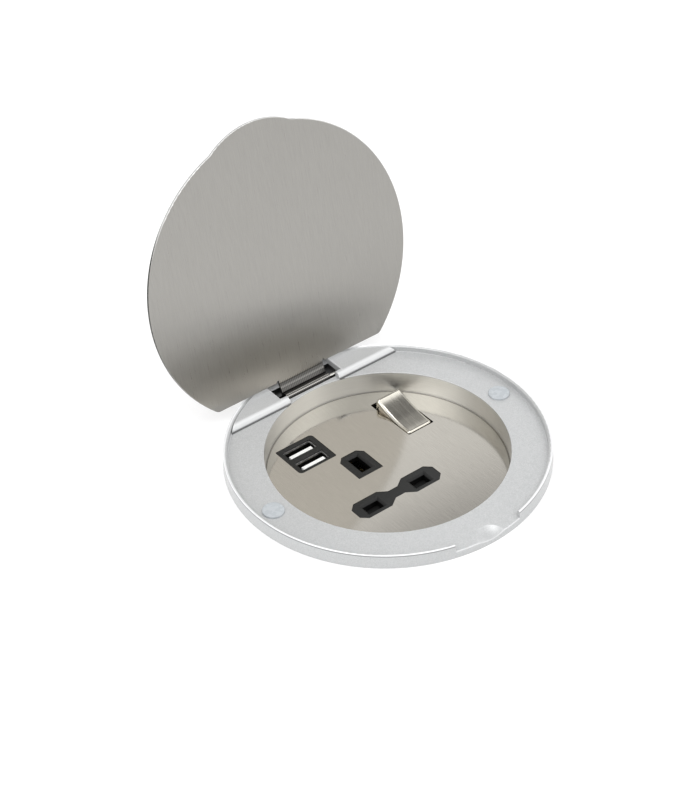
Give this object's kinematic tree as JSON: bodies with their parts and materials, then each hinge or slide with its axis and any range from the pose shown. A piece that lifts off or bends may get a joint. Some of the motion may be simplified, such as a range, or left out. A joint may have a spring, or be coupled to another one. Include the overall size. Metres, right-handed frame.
{
  "type": "recessed wall socket",
  "caption": "Round recessed socket: hinged steel lid over a shallow well with a three-pin outlet, rocker switch and charging ports, clamped into a panel.",
  "frame": {"origin": "centre of the flange's seating face, in the plane that touches the wall", "axes": "+Z comes out of the wall towards the user, +Y points at the lid's hinge, +X runs from the live aperture to the neutral aperture; the lid stands open, as in the picture"},
  "size_m": [0.1228, 0.137, 0.1572],
  "materials": {
    "silver_paint": "fine-textured silver powder coat",
    "lid_steel": "brushed, grain square to the hinge, polished edge",
    "plate_steel": "brushed",
    "liner_steel": "brushed along the circumference",
    "rocker_steel": "brushed, hollow face",
    "zinc_steel": "zinc-plated",
    "pin_steel": "bright drawn steel",
    "black_plastic": "fine matt",
    "white_plastic": "satin",
    "beige_plastic": "satin",
    "nylon": "natural, slippery",
    "grey_plastic": "moulded",
    "clear_silicone": "clear, self-adhesive",
    "black_rubber": "matt",
    "brass": "stamped",
    "silver_contact": "stamped, silver-tipped",
    "usb_shell": "tinned and bright",
    "gold_contact": "gold-flashed",
    "circuit_board": "solder mask",
    "transformer": "taped winding",
    "capacitor": "shrink sleeve",
    "chip": "moulded package",
    "spring_steel": "drawn wire"
  },
  "bodies": {
    "base": {"back_box": "grey_plastic", "back_box_screws": "zinc_steel", "bezel_ring": "silver_paint", "cable_grommet": "black_rubber", "clamp_screws": "zinc_steel", "contact_bridge": "silver_contact", "earth_contact": "brass", "earth_terminal": "brass", "face_plate": "plate_steel", "fixed_contact": "silver_contact", "flange_gasket": "black_rubber", "front_moulding": "black_plastic", "hinge_cover_left": "silver_paint", "hinge_cover_right": "silver_paint", "hinge_cover_screws": "zinc_steel", "hinge_pin": "pin_steel", "lid_bumper_left": "clear_silicone", "lid_bumper_right": "clear_silicone", "live_contact": "brass", "live_terminal": "brass", "moulding_screws": "zinc_steel", "neutral_contact": "brass", "neutral_terminal": "brass", "rear_moulding": "grey_plastic", "rocker_pin": "pin_steel", "shutter_keeper": "black_plastic", "shutter_spring": "spring_steel", "terminal_screws": "brass", "usb_bezel": "black_plastic", "usb_capacitors": "capacitor", "usb_circuit_board": "circuit_board", "usb_contacts": "gold_contact", "usb_controller_chip": "chip", "usb_shell_lower": "usb_shell", "usb_shell_upper": "usb_shell", "usb_tongue_lower": "white_plastic", "usb_tongue_upper": "white_plastic", "usb_transformer": "transformer", "well_liner": "liner_steel"},
    "lid": {"lid_plate": "lid_steel"},
    "rocker": {"rocker_cap": "rocker_steel", "rocker_carrier": "beige_plastic", "switch_plunger": "nylon", "switch_spring": "spring_steel"},
    "switch_contact": {"moving_contact": "silver_contact"},
    "shutter": {"shutter": "black_plastic"},
    "clamp_nut_right": {"clamp_nut_right": "zinc_steel"},
    "clamp_nut_left": {"clamp_nut_left": "zinc_steel"},
    "clamp_lug_right": {"clamp_lug_right": "grey_plastic"},
    "clamp_lug_left": {"clamp_lug_left": "grey_plastic"}
  },
  "joints": [
    {"name": "lid_hinge", "type": "hinge", "parent": "base", "child": "lid", "pos_m": [0, 0.0498, 0.0016], "axis": [1, 0, 0], "range_deg": [0, 101.7]},
    {"name": "rocker_hinge", "type": "hinge", "parent": "base", "child": "rocker", "pos_m": [0.0243, 0.0215, -0.01], "axis": [1, 0, 0], "range_deg": [-25.2, 0]},
    {"name": "switch_contact_hinge", "type": "hinge", "parent": "base", "child": "switch_contact", "pos_m": [0.0243, 0.0215, -0.0219], "axis": [1, 0, 0], "range_deg": [0, 12]},
    {"name": "shutter_slide", "type": "slide", "parent": "base", "child": "shutter", "axis": [0, -1, 0], "range_m": [0, 0.0052], "stiffness_N_per_m": 120, "springref_m": -0.002, "deforming": ["shutter_spring"]},
    {"name": "clamp_slide_right", "type": "slide", "parent": "base", "child": "clamp_nut_right", "axis": [0, 0, -1], "range_m": [0, 0.018]},
    {"name": "clamp_swing_right", "type": "hinge", "parent": "clamp_nut_right", "child": "clamp_lug_right", "pos_m": [0.0517, 0, -0.0155], "axis": [0, 0, 1], "range_deg": [-90, 0]},
    {"name": "clamp_slide_left", "type": "slide", "parent": "base", "child": "clamp_nut_left", "axis": [0, 0, -1], "range_m": [0, 0.018]},
    {"name": "clamp_swing_left", "type": "hinge", "parent": "clamp_nut_left", "child": "clamp_lug_left", "pos_m": [-0.0517, 0, -0.0155], "axis": [0, 0, 1], "range_deg": [-90, 0]}
  ],
  "couplings": [
    {"joint": "switch_contact_hinge", "follows": "rocker_hinge", "ratio": -0.47619}
  ]
}
